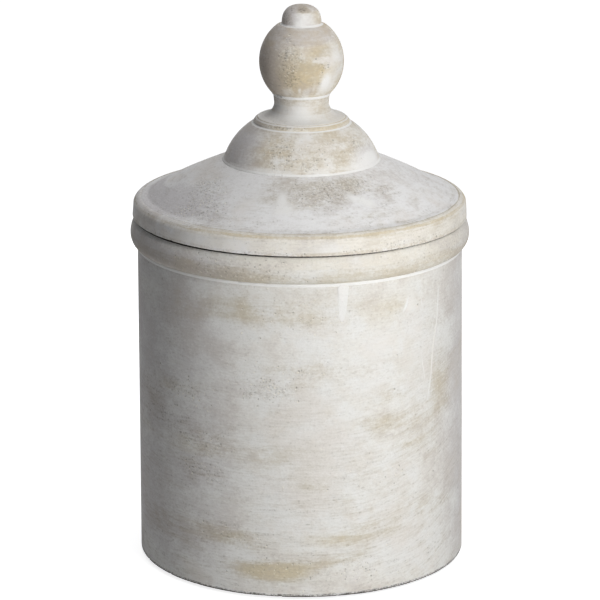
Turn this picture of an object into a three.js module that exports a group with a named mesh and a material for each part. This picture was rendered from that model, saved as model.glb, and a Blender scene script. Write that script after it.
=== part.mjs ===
// A lidded storage canister in fired clay, turned about the Z axis.
// Millimetres, +Z up. The origin lies on the axis, in the plane that the base pads stand on.

import * as THREE from "three";

// Vessel
const wallTopRadius = 86.0;
const wallFlare = 1.0;
const wallThickness = 6.5;
const floorThickness = 8.0;
const vesselHeight = 183.4;
const footRounding = 0.8;
const footRingWidth = 12.0;
const footRecess = 1.5;
const floorFillet = 5.0;
const rimRounding = 1.0;

// Rim bead: a flattened half round that stands out from the wall under the lid
const beadHeight = 14.8;
const beadProjection = 4.0;
const beadShoulder = 1.2;
const beadLipHeight = 0.9;

// Lid: a cone that flattens towards a rounded shoulder, above an upright band
const lidOverhang = 1.25;
const bandHeight = 11.0;
const bandTaper = 0.5;
const bandRounding = 0.8;
const shoulderRadius = 4.1;
const flatWidth = 4.0;
const coneRise = 19.4;
const plateThickness = 7.0;

// Spigot under the lid, which drops into the mouth, and the groove around it for the seal
const spigotDepth = 15.0;
const spigotThickness = 7.0;
const spigotRounding = 1.5;
const grooveDepth = 3.0;
const grooveHeight = 5.5;
const grooveDrop = 4.0;

// Seal: a soft band with two fins that reach the vessel's wall
const sealBand = 1.8;
const finCount = 2;
const finPitch = 2.4;
const finRoot = 1.9;
const finRise = 0.9;
const finEdge = 0.5;

// Finial: dome, disc, cove neck, ball and button in one piece, hollow up to the ball
const domeFootRadius = 41.5;
const domeTopRadius = 25.9;
const domeHeight = 19.6;
const domeArcRadius = 37.0;
const domeSeatWidth = 10.5;
const discRadius = 25.3;
const discHeight = 3.1;
const discTaper = 0.4;
const discRounding = 1.5;
const coveWidth = 8.2;
const coveHeight = 7.6;
const neckRadius = 14.4;
const neckHeight = 4.9;
const neckFlare = 0.8;
const ballRadius = 22.3;
const ballHalfHeight = 23.4;
const buttonRadius = 10.5;
const buttonHeight = 10.0;
const buttonFullness = 2.1;
const registerWall = 5.0;
const domeHollowFoot = 6.0;
const domeHollowHeight = 12.0;
const neckHollowRadius = 8.0;
const ballHollowRadius = 13.0;

// Base pads
const padCount = 4;
const padRadius = 7.0;
const padThickness = 3.0;
const padChamfer = 0.5;
const padMargin = 4.0;

// Clearances
const mouthClearance = 1.3;
const seatGap = 0.3;
const seamGap = 0.3;
const sealClearance = 0.3;
const adhesiveFilm = 0.3;

// Steps around the axis
const wideSegments = 72;
const finialSegments = 48;
const padSegments = 24;

// Sizes that follow from the values above
const footRadius = wallTopRadius + wallFlare;
const mouthRadius = wallTopRadius - wallThickness;
const recessRadius = footRadius - footRingWidth;
const beadEndRadius = wallTopRadius + beadShoulder;
const spigotRadius = mouthRadius - mouthClearance;
const grooveRadius = spigotRadius - grooveDepth;
const landingRadius = domeFootRadius + seamGap;
const centreHoleRadius = domeFootRadius - domeSeatWidth;
const landingHeight = bandHeight + coneRise - seamGap;
const footClearance = padThickness + adhesiveFilm - footRecess;
const seatPlane = footClearance + vesselHeight + seatGap;

// Points [r, z] on an ellipse about a centre, from one angle to another in degrees, 0 outwards and 90 upwards.
// A fullness over 2 swells the ellipse towards the corners of its box.
function arc([r, z], radiusR, radiusZ, from, to, steps, fullness = 2) {
  const swell = (x) => Math.sign(x) * Math.abs(x) ** (2 / fullness);
  return Array.from({ length: steps + 1 }, (_, i) => {
    const angle = THREE.MathUtils.degToRad(from + ((to - from) * i) / steps);
    return [r + radiusR * swell(Math.cos(angle)), z + radiusZ * swell(Math.sin(angle))];
  });
}

// Points on the circular arc of a given radius that bulges outwards, from a lower end to an upper one.
function bulge(low, high, radius, steps) {
  const [dr, dz] = [high[0] - low[0], high[1] - low[1]];
  const chord = Math.hypot(dr, dz);
  const back = Math.sqrt(radius ** 2 - (chord / 2) ** 2) / chord;
  const centre = [(low[0] + high[0]) / 2 - back * dz, (low[1] + high[1]) / 2 + back * dr];
  const angleTo = ([r, z]) => THREE.MathUtils.radToDeg(Math.atan2(z - centre[1], r - centre[0]));
  return arc(centre, radius, radius, angleTo(low), angleTo(high), steps);
}

// The angle in degrees at which an ellipse of this radius has narrowed to a smaller one.
function narrowingAngle(radius, narrowed) {
  return THREE.MathUtils.radToDeg(Math.acos(narrowed / radius));
}

// A solid of revolution about Z. The outline of [r, z] points keeps the clay on its left.
// It runs from the axis to the axis, or is a loop that its first point closes.
function turned(name, outline, segments, material) {
  const closed = outline[0][0] === 0 ? outline : [...outline, outline[0]];
  const points = closed.map(([r, z]) => new THREE.Vector2(r, z));
  const geometry = new THREE.LatheGeometry(points, segments);
  geometry.rotateX(Math.PI / 2);
  const mesh = new THREE.Mesh(geometry, material);
  mesh.name = name;
  return mesh;
}

function finish(color, roughness) {
  return new THREE.MeshStandardMaterial({ color, roughness, metalness: 0 });
}

// Floor, wall and rim bead in one piece of clay. Z is counted from the foot.
function makeVessel() {
  const beadFoot = vesselHeight - beadHeight;
  const rimEdge = vesselHeight - rimRounding;
  const beadChord = rimEdge - beadFoot - beadLipHeight;
  const beadSwell = beadProjection - beadShoulder;
  const beadArcRadius = beadChord ** 2 / (8 * beadSwell) + beadSwell / 2;
  const outerRimCentre = [beadEndRadius - rimRounding, rimEdge];
  const innerRimCentre = [mouthRadius + rimRounding, rimEdge];
  const footCentre = [footRadius - footRounding, footRounding];
  const floorCentre = [mouthRadius - floorFillet, floorThickness + floorFillet];
  const outline = [
    [0, footRecess],
    [recessRadius - footRecess, footRecess],
    [recessRadius, 0],
    ...arc(footCentre, footRounding, footRounding, -90, 0, 3),
    [wallTopRadius, beadFoot],
    [beadEndRadius - beadLipHeight, beadFoot],
    ...bulge([beadEndRadius, beadFoot + beadLipHeight], [beadEndRadius, rimEdge], beadArcRadius, 8),
    ...arc(outerRimCentre, rimRounding, rimRounding, 45, 90, 1),
    ...arc(innerRimCentre, rimRounding, rimRounding, 90, 180, 2),
    ...arc(floorCentre, floorFillet, floorFillet, 0, -90, 4),
    [0, floorThickness],
  ];
  return turned("canister_body", outline, wideSegments, finish("#cfccc5", 0.9));
}

// The lid plate with its band and spigot. Z is counted from the face that sits over the rim.
function makeLid() {
  const bandRadius = beadEndRadius + lidOverhang;
  const flatRadius = bandRadius - bandTaper - shoulderRadius;
  const coneLowRadius = flatRadius - flatWidth;
  const slope = coneRise / (coneLowRadius - landingRadius + flatWidth / 2);
  const blendRise = (slope * flatWidth) / 2;
  const coneHeight = (r) => bandHeight + blendRise + slope * (coneLowRadius - r);
  const underside = (r) => coneHeight(r) - plateThickness * Math.hypot(1, slope);
  const spigotInner = spigotRadius - spigotThickness;
  const bandCentre = [bandRadius - bandRounding, bandRounding];
  const shoulderCentre = [flatRadius, bandHeight - shoulderRadius];
  const flattening = [1 / 3, 2 / 3, 1].map((t) => [
    flatRadius - t * flatWidth,
    bandHeight + blendRise * t ** 2,
  ]);
  const outline = [
    [spigotInner, underside(spigotInner)],
    [spigotInner, spigotRounding - spigotDepth],
    [spigotInner + spigotRounding, -spigotDepth],
    [spigotRadius - spigotRounding, -spigotDepth],
    [spigotRadius, spigotRounding - spigotDepth],
    [spigotRadius, -grooveDrop - grooveHeight],
    [grooveRadius, -grooveDrop - grooveHeight],
    [grooveRadius, -grooveDrop],
    [spigotRadius, -grooveDrop],
    [spigotRadius, 0],
    ...arc(bandCentre, bandRounding, bandRounding, -90, 0, 2),
    ...arc(shoulderCentre, shoulderRadius, shoulderRadius, 0, 90, 5),
    ...flattening,
    [landingRadius, landingHeight + seamGap],
    [landingRadius, landingHeight],
    [centreHoleRadius, landingHeight],
    [centreHoleRadius, landingHeight - plateThickness],
    [landingRadius, underside(landingRadius)],
  ];
  return turned("lid", outline, wideSegments, finish("#d3d1cb", 0.9));
}

// The grip above the lid. Z is counted from the foot of the dome, and the register reaches down into the lid's hole.
function makeFinial() {
  const registerRadius = centreHoleRadius - seamGap;
  const boreRadius = registerRadius - registerWall;
  const discTop = domeHeight + discHeight;
  const neckFoot = discTop + coveHeight;
  const neckTop = neckFoot + neckHeight;
  const lipRadius = neckRadius + neckFlare;
  const lipAngle = narrowingAngle(ballRadius, lipRadius);
  const buttonAngle = narrowingAngle(ballRadius, buttonRadius);
  const heightOnBall = (angle) => ballHalfHeight * Math.sin(THREE.MathUtils.degToRad(angle));
  const ballCentre = [0, neckTop + heightOnBall(lipAngle)];
  const buttonCentre = [0, ballCentre[1] + heightOnBall(buttonAngle)];
  const domeHollowWidth = boreRadius - neckHollowRadius;
  const ballHollowEnd = -narrowingAngle(ballHollowRadius, neckHollowRadius);
  const edgeRadius = discRadius - discTaper;
  const outline = [
    [0, ballCentre[1] + ballHollowRadius],
    ...arc(ballCentre, ballHollowRadius, ballHollowRadius, 70, ballHollowEnd, 6),
    ...arc([neckHollowRadius, domeHollowFoot], domeHollowWidth, domeHollowHeight, 90, 0, 5),
    [boreRadius, -plateThickness],
    [registerRadius, -plateThickness],
    [registerRadius, 0],
    ...bulge([domeFootRadius, 0], [domeTopRadius, domeHeight], domeArcRadius, 9),
    [discRadius, domeHeight],
    [edgeRadius, discTop - discRounding],
    ...arc([neckRadius + coveWidth, neckFoot], coveWidth, coveHeight, -90, -180, 6),
    [lipRadius, neckTop],
    ...arc(ballCentre, ballRadius, ballHalfHeight, 3 - lipAngle, buttonAngle, 14),
    ...arc(buttonCentre, buttonRadius, buttonHeight, 0, 75, 6, buttonFullness),
    [0, buttonCentre[1] + buttonHeight],
  ];
  return turned("finial", outline, finialSegments, finish("#cfc5b3", 0.9));
}

// The seal in the spigot's groove. Z is counted from its lower face.
function makeSeal() {
  const innerRadius = grooveRadius + sealClearance;
  const bandRadius = innerRadius + sealBand;
  const tipRadius = mouthRadius - sealClearance;
  const sealHeight = grooveHeight - 2 * sealClearance;
  const finStart = (sealHeight - (finCount - 1) * finPitch - finRoot) / 2;
  const fins = Array.from({ length: finCount }, (_, i) => finStart + i * finPitch).flatMap((z) => [
    [bandRadius, z],
    [tipRadius, z + finRise],
    [tipRadius, z + finRise + finEdge],
    [bandRadius, z + finRoot],
  ]);
  const outline = [
    [innerRadius, 0],
    [bandRadius, 0],
    ...fins,
    [bandRadius, sealHeight],
    [innerRadius, sealHeight],
  ];
  return turned("seal_ring", outline, wideSegments, finish("#dcdad2", 0.45));
}

// One stick-on pad, standing on z = 0.
function makePad(number) {
  const outline = [
    [0, 0],
    [padRadius - padChamfer, 0],
    [padRadius, padChamfer],
    [padRadius, padThickness],
    [0, padThickness],
  ];
  return turned(`base_pad_${number}`, outline, padSegments, finish("#4b443d", 0.8));
}

const canister = new THREE.Group();

const vessel = makeVessel();
vessel.position.z = footClearance;
canister.add(vessel);

const padCircleRadius = recessRadius - footRecess - padMargin - padRadius;
for (let i = 0; i < padCount; i++) {
  const angle = ((i + 0.5) * 2 * Math.PI) / padCount;
  const pad = makePad(i + 1);
  pad.position.set(padCircleRadius * Math.cos(angle), padCircleRadius * Math.sin(angle), 0);
  canister.add(pad);
}

const cover = new THREE.Group();
cover.position.z = seatPlane;
canister.add(cover);

const seal = makeSeal();
seal.position.z = sealClearance - grooveDrop - grooveHeight;

const finial = makeFinial();
finial.position.z = landingHeight + seamGap;

cover.add(makeLid(), seal, finial);

export default canister;
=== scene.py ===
"""A lidded storage canister in brushed antique-white earthenware.

Outlines are in millimetres, radius first and height second, and are turned about the Z axis. What reaches
Blender is in metres, in the model's own frame: +Z up, the origin on the axis at the underside of the pads.
Azimuths are in degrees round the axis, 0 on the photographed side, which faces -Y, and +90 towards +X.
"""

import math

import bpy
import numpy as np
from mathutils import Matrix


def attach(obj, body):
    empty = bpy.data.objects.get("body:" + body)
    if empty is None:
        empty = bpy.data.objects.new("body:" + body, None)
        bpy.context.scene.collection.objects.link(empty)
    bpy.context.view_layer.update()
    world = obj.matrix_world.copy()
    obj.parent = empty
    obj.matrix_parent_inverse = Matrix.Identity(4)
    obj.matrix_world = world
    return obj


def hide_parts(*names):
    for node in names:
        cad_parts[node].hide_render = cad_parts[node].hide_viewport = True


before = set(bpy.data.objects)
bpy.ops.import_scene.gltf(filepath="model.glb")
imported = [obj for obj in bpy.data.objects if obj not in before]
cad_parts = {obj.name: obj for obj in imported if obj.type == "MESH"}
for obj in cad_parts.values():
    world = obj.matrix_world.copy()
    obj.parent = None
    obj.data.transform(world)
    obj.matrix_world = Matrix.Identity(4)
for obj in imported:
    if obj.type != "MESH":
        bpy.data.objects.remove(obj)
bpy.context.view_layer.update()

MM = 0.001

# Heights of the main levels and the radii of the vessel
FOOT_Z = 1.8
SEAT_Z = 185.5
RIM_Z = 185.2
FLOOR_Z = 9.8
RECESS_Z = 3.3
FOOT_RADIUS = 87.0
WALL_TOP_RADIUS = 86.0
MOUTH_RADIUS = 79.5
RECESS_RADIUS = 75.0
FOOT_ROUNDING = 0.6
FLOOR_FILLET = 5.0
RIM_ROUNDING = 1.0

# Rim bead: full in the middle, tucked under sharply, with wash pooled in the corner below it
BEAD_FOOT_Z = 170.6
BEAD_RADIUS = 89.75
BEAD_MIDDLE_Z = 176.5
BEAD_UPPER_RADIUS = 14.4
BEAD_TUCK_FULLNESS = 1.8
POOL_HEIGHT = 1.2
POOL_PROUD = 0.28

# Lid: a slightly crowned cone, a flat ring, a soft shoulder and an upright band
BAND_RADIUS = 88.45
BAND_TAPER = 0.45
BAND_ROUNDING = 0.5
SHOULDER_FOOT_Z = 192.9
SHOULDER_FULLNESS = 1.6
RING_OUTER = (84.3, 196.3)
RING_INNER = (80.5, 197.05)
CONE_CROWN = 0.75
PLATE_THICKNESS = 7.0
LANDING_RADIUS = 41.3
CENTRE_HOLE_RADIUS = 31.0
SPIGOT_DEPTH = 15.0
SPIGOT_RADIUS = 78.2
SPIGOT_THICKNESS = 7.0
SPIGOT_ROUNDING = 1.5
GROOVE_RADIUS = 75.2
GROOVE_DROP = 4.0
GROOVE_HEIGHT = 5.5

# Finial
DOME_FOOT_Z = 215.9
DOME_FOOT_RADIUS = 41.0
DOME_TOP_RADIUS = 25.9
DOME_TOP_Z = 235.5
DOME_ARC_RADIUS = 35.0
DISC_RADIUS = 25.3
DISC_TOP_Z = 238.7
COVE_RADIUS = 22.6
NECK_FOOT_Z = 246.2
NECK_RADIUS = 14.4
NECK_TOP_Z = 251.1
LIP_RADIUS = 15.2
BALL_RADIUS = 22.3
BALL_HALF_HEIGHT = 23.4
BALL_TOP_RADIUS = 12.9
BUTTON_RADIUS = 10.45
BUTTON_HEIGHT = 10.2
BUTTON_FULLNESS = 2.6
REGISTER_RADIUS = 30.7
BORE_RADIUS = 25.7
HOLLOW_FOOT = 6.0
HOLLOW_HEIGHT = 12.0
NECK_HOLLOW_RADIUS = 8.0
BALL_HOLLOW_RADIUS = 13.0

# Seal and pads
SEAL_INNER_RADIUS = 75.5
SEAL_BAND_RADIUS = 77.3
SEAL_TIP_RADIUS = 79.2
SEAL_FOOT_Z = 176.3
SEAL_HEIGHT = 4.9
FIN_COUNT = 2
FIN_PITCH = 2.4
FIN_ROOT = 1.9
FIN_RISE = 0.9
FIN_EDGE = 0.5
PAD_RADIUS = 7.0
PAD_THICKNESS = 3.0
PAD_CIRCLE_RADIUS = 62.5
PAD_COUNT = 4

# Steps round the axis
BODY_STEPS = 440
LID_STEPS = 440
FINIAL_STEPS = 300
SEAL_STEPS = 240
PAD_STEPS = 72

# What the brush left on a stretch of an outline: rubbed back to the clay, pooled wash, dark residue and
# painted shade, how ochre the clay is, and whether the listed patches reach it
HIDDEN = (0.30, 0.0, 0.0, 0.2, 0.0)
WALL = (0.16, 0.0, 0.0, 0.30, 1.0)
# The foot's dark edge is a painted contact shadow with grime in its chips, fading out up the wall
FOOT_EDGE = (0.30, 0.0, 0.9, 0.0, 1.0)
FOOT_LINE_FADE = (0.30, 0.0, 0.45, 0.0, 1.0)
POOLED = (0.0, 1.0, 0.0, 0.0, 1.0)
# The bead shows more clay, and so is darker, towards its tuck underneath: rubbed clay and painted shade there
BEAD_TUCK = (0.74, 0.0, 0.0, 0.40, 1.0)
BEAD_BELLY = (0.52, 0.0, 0.0, 0.50, 1.0)
BEAD_FACE = (0.26, 0.0, 0.0, 0.70, 1.0)
# In the joint between the lid's band and the rim: near-black, painted shade in the gap with dirt in it
NOTCH = (0.60, 0.0, 1.0, 0.0, 1.0)
BAND_FOOT = (0.55, 0.0, 0.0, 0.50, 1.0)
BAND = (0.24, 0.15, 0.0, 0.75, 1.0)
SHOULDER = (0.42, 0.05, 0.0, 0.90, 1.0)
TAN_LINE = (0.84, 0.0, 0.0, 1.0, 1.0)
SCORE = (1.25, 0.0, 0.22, 0.5, 1.0)
RING = (0.22, 0.0, 0.0, 0.0, 1.0)
CONE = (0.0, 0.0, 0.0, 0.1, 1.0)
SEAM = (0.20, 0.50, 0.0, 0.3, 1.0)
DOME = (0.52, 0.0, 0.0, 0.35, 1.0)
DISC_EDGE = (0.66, 0.0, 0.0, 0.6, 1.0)
DISC = (0.24, 0.50, 0.0, 0.5, 1.0)
COVE = (0.16, 0.42, 0.0, 0.4, 1.0)
COLLAR = (0.52, 0.0, 0.0, 0.3, 1.0)
BALL = (0.82, 0.0, 0.0, 0.46, 1.0)
SCORED_DISC = (0.85, 0.0, 0.12, 0.6, 1.0)
COVE_TOP = (0.36, 0.15, 0.0, 0.4, 1.0)
BUTTON = (0.60, 0.0, 0.0, 0.3, 1.0)

# How strongly the brush combed the wash, by height: most low on the wall and on the lid's cone
COMBED = (
    [0, 55, 105, 168, 171, 190, 196, 205, 210, 217, 240, 299],
    [1.00, 0.95, 0.60, 0.40, 0.45, 0.55, 0.95, 0.85, 0.50, 0.45, 0.35, 0.30],
)


def arc(centre, radii, start, end, steps, fullness=2):
    """Points on a circle, or on an ellipse if there are two radii, squarer with a fullness over 2.

    The angles are in degrees, 0 outwards and 90 upwards.
    """
    across, up = np.broadcast_to(radii, 2)

    def swell(x):
        return math.copysign(abs(x) ** (2 / fullness), x)

    angles = [math.radians(start + (end - start) * i / steps) for i in range(steps + 1)]
    return [
        (centre[0] + across * swell(math.cos(a)), centre[1] + up * swell(math.sin(a)))
        for a in angles
    ]


def bulge(low, high, radius, steps):
    """Points on the circular arc of this radius that bulges outwards from a lower end to an upper one."""
    dr = high[0] - low[0]
    dz = high[1] - low[1]
    chord = math.hypot(dr, dz)
    back = math.sqrt(radius**2 - (chord / 2) ** 2) / chord
    centre = ((low[0] + high[0]) / 2 - back * dz, (low[1] + high[1]) / 2 + back * dr)
    start = math.degrees(math.atan2(low[1] - centre[1], low[0] - centre[0]))
    end = math.degrees(math.atan2(high[1] - centre[1], high[0] - centre[0]))
    return arc(centre, radius, start, end, steps)


def narrowing_angle(radius, narrowed):
    """The angle in degrees at which an ellipse of this radius has narrowed to a smaller one."""
    return math.degrees(math.acos(narrowed / radius))


def laid(stretches):
    """An outline and its finish, point by point, from stretches of (points, spacing, finish).

    Straight runs get points no further apart than the spacing.
    """
    outline = []
    finish = []
    for points, spacing, left_by_brush in stretches:
        for point in points:
            if outline:
                before = outline[-1]
                gap = math.dist(before, point)
                if gap < 1e-6:
                    continue
                cuts = max(1, math.ceil(gap / spacing))
                for i in range(1, cuts):
                    outline.append(tuple(a + i / cuts * (b - a) for a, b in zip(before, point)))
                    finish.append(left_by_brush)
            outline.append(point)
            finish.append(left_by_brush)
    return outline, finish


def vessel_outline():
    """Floor, wall and rim bead, from the middle of the underside round to the middle of the floor."""
    foot = (FOOT_RADIUS - FOOT_ROUNDING, FOOT_Z + FOOT_ROUNDING)
    tuck_radii = (BEAD_RADIUS - WALL_TOP_RADIUS, BEAD_MIDDLE_Z - BEAD_FOOT_Z)
    tuck = (BEAD_RADIUS - tuck_radii[0], BEAD_MIDDLE_Z)
    upper = (BEAD_RADIUS - BEAD_UPPER_RADIUS, BEAD_MIDDLE_Z)
    rim_edge_z = RIM_Z - RIM_ROUNDING
    upper_end = math.degrees(math.asin((rim_edge_z - BEAD_MIDDLE_Z) / BEAD_UPPER_RADIUS))
    bead_end_radius = upper[0] + BEAD_UPPER_RADIUS * math.cos(math.radians(upper_end))
    outer_rim = (bead_end_radius - RIM_ROUNDING, rim_edge_z)
    inner_rim = (MOUTH_RADIUS + RIM_ROUNDING, rim_edge_z)
    floor = (MOUTH_RADIUS - FLOOR_FILLET, FLOOR_Z + FLOOR_FILLET)
    pool_foot = BEAD_FOOT_Z - POOL_HEIGHT
    pool = [
        (WALL_TOP_RADIUS + POOL_PROUD * math.sin(math.pi * t) ** 0.7, pool_foot + POOL_HEIGHT * t)
        for t in (0.0, 0.06, 0.15, 0.3, 0.5, 0.7, 0.85, 0.94, 1.0)
    ]
    return laid([
        ([(0, RECESS_Z), (RECESS_RADIUS - RECESS_Z + FOOT_Z, RECESS_Z), (RECESS_RADIUS, FOOT_Z)], 8, HIDDEN),
        (arc(foot, FOOT_ROUNDING, -90, 0, 5), 1, FOOT_EDGE),
        ([(FOOT_RADIUS - 0.01, FOOT_Z + 1.5)], 0.3, FOOT_LINE_FADE),
        ([(FOOT_RADIUS - 0.02, FOOT_Z + 2.4)], 0.3, WALL),
        ([(WALL_TOP_RADIUS + 0.02, pool_foot - 0.6)], 2.0, WALL),
        (pool, 0.5, POOLED),
        (arc(tuck, tuck_radii, -90, -3, 22, BEAD_TUCK_FULLNESS), 0.6, BEAD_TUCK),
        (arc(upper, BEAD_UPPER_RADIUS, 0, 9, 4), 0.7, BEAD_BELLY),
        (arc(upper, BEAD_UPPER_RADIUS, 13, upper_end, 10), 0.7, BEAD_FACE),
        (arc(outer_rim, RIM_ROUNDING, upper_end, 50, 2), 1, BEAD_FACE),
        (arc(outer_rim, RIM_ROUNDING, 54, 90, 4), 1, NOTCH),
        (arc(inner_rim, RIM_ROUNDING, 90, 180, 4), 3, HIDDEN),
        (arc(floor, FLOOR_FILLET, 0, -90, 6), 12, HIDDEN),
        ([(0, FLOOR_Z)], 12, HIDDEN),
    ])


def lid_outline():
    """The lid plate with its band and spigot, a closed loop round the centre hole."""
    slope = (DOME_FOOT_Z - 0.15 - RING_INNER[1]) / (RING_INNER[0] - LANDING_RADIUS)

    def cone_z(r):
        u = (RING_INNER[0] - r) / (RING_INNER[0] - LANDING_RADIUS)
        return RING_INNER[1] + slope * (RING_INNER[0] - r) + CONE_CROWN * 4 * u * (1 - u)

    def underside_z(r):
        return RING_INNER[1] + slope * (RING_INNER[0] - r) - PLATE_THICKNESS * math.hypot(1, slope)

    spigot_inner = SPIGOT_RADIUS - SPIGOT_THICKNESS
    spigot_z = SEAT_Z - SPIGOT_DEPTH
    groove_top = SEAT_Z - GROOVE_DROP
    groove_foot = groove_top - GROOVE_HEIGHT
    turn_in = (spigot_inner + SPIGOT_ROUNDING, spigot_z + SPIGOT_ROUNDING)
    turn_out = (SPIGOT_RADIUS - SPIGOT_ROUNDING, spigot_z + SPIGOT_ROUNDING)
    band_low = (BAND_RADIUS - BAND_ROUNDING, SEAT_Z + BAND_ROUNDING)
    shoulder = (RING_OUTER[0], SHOULDER_FOOT_Z)
    turned_in = (BAND_RADIUS - BAND_TAPER - RING_OUTER[0], RING_OUTER[1] - SHOULDER_FOOT_Z)
    scored = [(RING_OUTER[0] + 0.1, RING_OUTER[1]), (RING_OUTER[0] - 0.3, RING_OUTER[1] - 0.28)]
    ring_end = (RING_OUTER[0] - 0.8, RING_OUTER[1] + 0.16)
    cone_radii = np.linspace(RING_INNER[0], LANDING_RADIUS, 46)
    outline, finish = laid([
        ([(spigot_inner, underside_z(spigot_inner)), (spigot_inner, spigot_z + SPIGOT_ROUNDING)], 6, HIDDEN),
        (arc(turn_in, SPIGOT_ROUNDING, 180, 270, 4), 3, HIDDEN),
        (arc(turn_out, SPIGOT_ROUNDING, -90, 0, 4), 3, HIDDEN),
        ([(SPIGOT_RADIUS, groove_foot), (GROOVE_RADIUS, groove_foot)], 3, HIDDEN),
        ([(GROOVE_RADIUS, groove_top), (SPIGOT_RADIUS, groove_top), (SPIGOT_RADIUS, SEAT_Z)], 3, HIDDEN),
        ([(band_low[0] - 1.5, SEAT_Z)], 3, HIDDEN),
        (arc(band_low, BAND_ROUNDING, -90, -32, 4), 3, NOTCH),
        (arc(band_low, BAND_ROUNDING, -24, 0, 2), 3, BAND_FOOT),
        ([(BAND_RADIUS - 0.1, SEAT_Z + 1.6)], 0.6, BAND_FOOT),
        ([(BAND_RADIUS - BAND_TAPER, SHOULDER_FOOT_Z)], 0.8, BAND),
        (arc(shoulder, turned_in, 0, 28, 6, SHOULDER_FULLNESS), 0.6, SHOULDER),
        (arc(shoulder, turned_in, 34, 52, 5, SHOULDER_FULLNESS), 0.6, TAN_LINE),
        (arc(shoulder, turned_in, 58, 86, 6, SHOULDER_FULLNESS), 0.6, SHOULDER),
        (scored, 0.3, SCORE),
        ([ring_end, RING_INNER], 0.7, RING),
        ([(r, cone_z(r)) for r in cone_radii], 1.2, CONE),
        ([(LANDING_RADIUS, DOME_FOOT_Z - 0.3), (CENTRE_HOLE_RADIUS, DOME_FOOT_Z - 0.3)], 4, HIDDEN),
        ([(CENTRE_HOLE_RADIUS, DOME_FOOT_Z - 0.3 - PLATE_THICKNESS)], 6, HIDDEN),
        ([(r, underside_z(r)) for r in (LANDING_RADIUS, spigot_inner)], 6, HIDDEN),
    ])
    return outline[:-1], finish[:-1]


def finial_outline():
    """Dome, disc, cove neck, ball and button, from the top of the hollow round to the top of the button."""
    lip_angle = narrowing_angle(BALL_RADIUS, LIP_RADIUS)
    ball = (0, NECK_TOP_Z + BALL_HALF_HEIGHT * math.sin(math.radians(lip_angle)))
    ball_end = narrowing_angle(BALL_RADIUS, BALL_TOP_RADIUS)
    ball_top_z = ball[1] + BALL_HALF_HEIGHT * math.sin(math.radians(ball_end))
    button = (0, ball_top_z + 0.5)
    hollow_end = -narrowing_angle(BALL_HOLLOW_RADIUS, NECK_HOLLOW_RADIUS)
    hollow_foot = (NECK_HOLLOW_RADIUS, DOME_FOOT_Z + HOLLOW_FOOT)
    dome = bulge((DOME_FOOT_RADIUS, DOME_FOOT_Z), (DOME_TOP_RADIUS, DOME_TOP_Z), DOME_ARC_RADIUS, 36)
    cove = (COVE_RADIUS, NECK_FOOT_Z)
    cove_radii = (COVE_RADIUS - NECK_RADIUS, NECK_FOOT_Z - DISC_TOP_Z)
    disc_edge = [(DISC_RADIUS, DOME_TOP_Z + 0.3), (DISC_RADIUS - 0.05, DOME_TOP_Z + 1.1), (24.5, 237.6)]
    register_foot = DOME_FOOT_Z - PLATE_THICKNESS
    lip = [
        (LIP_RADIUS + out, NECK_TOP_Z + up)
        for out, up in [(0, -0.5), (0.3, 0), (0.35, 0.4)]
    ]
    return laid([
        (arc(ball, BALL_HOLLOW_RADIUS, 90, hollow_end, 10), 6, HIDDEN),
        (arc(hollow_foot, (BORE_RADIUS - NECK_HOLLOW_RADIUS, HOLLOW_HEIGHT), 90, 0, 8), 6, HIDDEN),
        ([(BORE_RADIUS, register_foot), (REGISTER_RADIUS, register_foot)], 6, HIDDEN),
        ([(REGISTER_RADIUS, DOME_FOOT_Z), (DOME_FOOT_RADIUS, DOME_FOOT_Z)], 4, HIDDEN),
        ([(41.8, DOME_FOOT_Z - 0.35), (41.45, DOME_FOOT_Z + 0.05), (41.15, DOME_FOOT_Z + 0.5)], 0.4, SEAM),
        (dome[3:-1], 0.7, DOME),
        ([(25.75, DOME_TOP_Z - 0.2), (25.42, DOME_TOP_Z + 0.1)], 0.2, POOLED),
        (disc_edge, 0.3, DISC_EDGE),
        ([(23.6, 238.3)], 0.3, DISC),
        ([(23.5, 238.2), (23.3, 238.25)], 0.3, SCORED_DISC),
        ([(23.15, DISC_TOP_Z - 0.1), (COVE_RADIUS, DISC_TOP_Z)], 0.5, DISC),
        (arc(cove, cove_radii, -90, -145, 11), 0.8, COVE),
        (arc(cove, cove_radii, -152, -180, 5), 0.8, COVE_TOP),
        ([(LIP_RADIUS - 0.35, NECK_TOP_Z - 1.0)], 0.4, COLLAR),
        (lip, 0.3, POOLED),
        (arc(ball, (BALL_RADIUS, BALL_HALF_HEIGHT), 3 - lip_angle, ball_end, 58), 0.9, BALL),
        ([(11.4, button[1] - 0.3)], 0.4, BALL),
        ([(10.85, button[1] - 0.05), (BUTTON_RADIUS, button[1] + 0.35)], 0.25, POOLED),
        (arc(button, (BUTTON_RADIUS, BUTTON_HEIGHT), 5, 90, 28, BUTTON_FULLNESS), 0.8, BUTTON),
    ])


def seal_outline():
    """The soft band with its fins, a closed loop."""
    start = (SEAL_HEIGHT - (FIN_COUNT - 1) * FIN_PITCH - FIN_ROOT) / 2
    points = [(SEAL_INNER_RADIUS, 0), (SEAL_BAND_RADIUS, 0)]
    for i in range(FIN_COUNT):
        z = start + i * FIN_PITCH
        points += [(SEAL_BAND_RADIUS, z), (SEAL_TIP_RADIUS, z + FIN_RISE)]
        points += [(SEAL_TIP_RADIUS, z + FIN_RISE + FIN_EDGE), (SEAL_BAND_RADIUS, z + FIN_ROOT)]
    points += [(SEAL_BAND_RADIUS, SEAL_HEIGHT), (SEAL_INNER_RADIUS, SEAL_HEIGHT), (SEAL_INNER_RADIUS, 0)]
    outline, finish = laid([([(r, z + SEAL_FOOT_Z) for r, z in points], 0.5, HIDDEN)])
    return outline[:-1], finish[:-1]


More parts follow.
